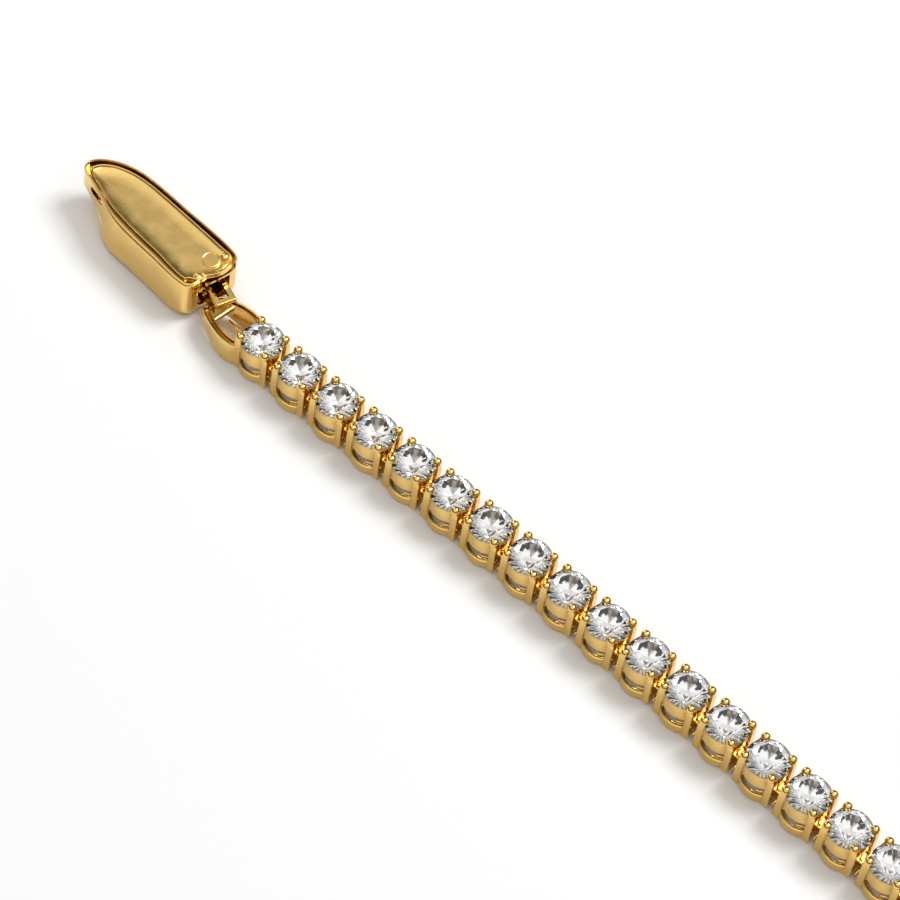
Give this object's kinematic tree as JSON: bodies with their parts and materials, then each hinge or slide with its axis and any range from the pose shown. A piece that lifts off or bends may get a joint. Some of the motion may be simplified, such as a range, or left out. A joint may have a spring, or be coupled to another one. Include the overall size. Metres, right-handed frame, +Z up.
{
  "type": "tennis bracelet",
  "caption": "Flexible line bracelet of round brilliants in four-prong open gallery settings, with a boat-shaped box clasp.",
  "frame": {"origin": "middle of the underside of the whole bracelet, on the surface it lies on", "axes": "+Z up through the stones, +X along the longest extent away from the clasp, +Y from the pictured side to the far side"},
  "size_m": [0.1068, 0.0546, 0.0037],
  "materials": {
    "polished_gold": "polished yellow gold",
    "satin_gold": "satin yellow gold",
    "brilliant": "clear, cut and polished"
  },
  "bodies": {
    "root": {"clasp_case": "polished_gold", "clasp_bail": "polished_gold", "end_link": "polished_gold", "stone_link_02": "polished_gold", "stone_link_03": "polished_gold", "stone_link_04": "polished_gold", "stone_link_05": "polished_gold", "stone_link_06": "polished_gold", "stone_link_07": "polished_gold", "stone_link_08": "polished_gold", "stone_link_09": "polished_gold", "stone_link_10": "polished_gold", "stone_link_11": "polished_gold", "stone_link_12": "polished_gold", "stone_link_13": "polished_gold", "stone_link_14": "polished_gold", "stone_link_15": "polished_gold", "stone_link_16": "polished_gold", "stone_link_17": "polished_gold", "stone_link_18": "polished_gold", "stone_link_19": "polished_gold", "stone_link_20": "polished_gold", "stone_link_21": "polished_gold", "stone_link_22": "polished_gold", "stone_link_23": "polished_gold", "stone_link_24": "polished_gold", "stone_link_25": "polished_gold", "stone_link_26": "polished_gold", "stone_link_27": "polished_gold", "stone_link_28": "polished_gold", "stone_link_29": "polished_gold", "stone_link_30": "polished_gold", "stone_link_31": "polished_gold", "stone_link_32": "polished_gold", "stone_link_33": "polished_gold", "stone_link_34": "polished_gold", "stone_link_35": "polished_gold", "stone_link_36": "polished_gold", "stone_link_37": "polished_gold", "stone_link_38": "polished_gold", "stone_link_39": "polished_gold", "stone_link_40": "polished_gold", "stone_link_41": "polished_gold", "stone_link_42": "polished_gold", "clasp_tongue": "polished_gold", "clasp_plate": "satin_gold"}
  },
  "joints": []
}
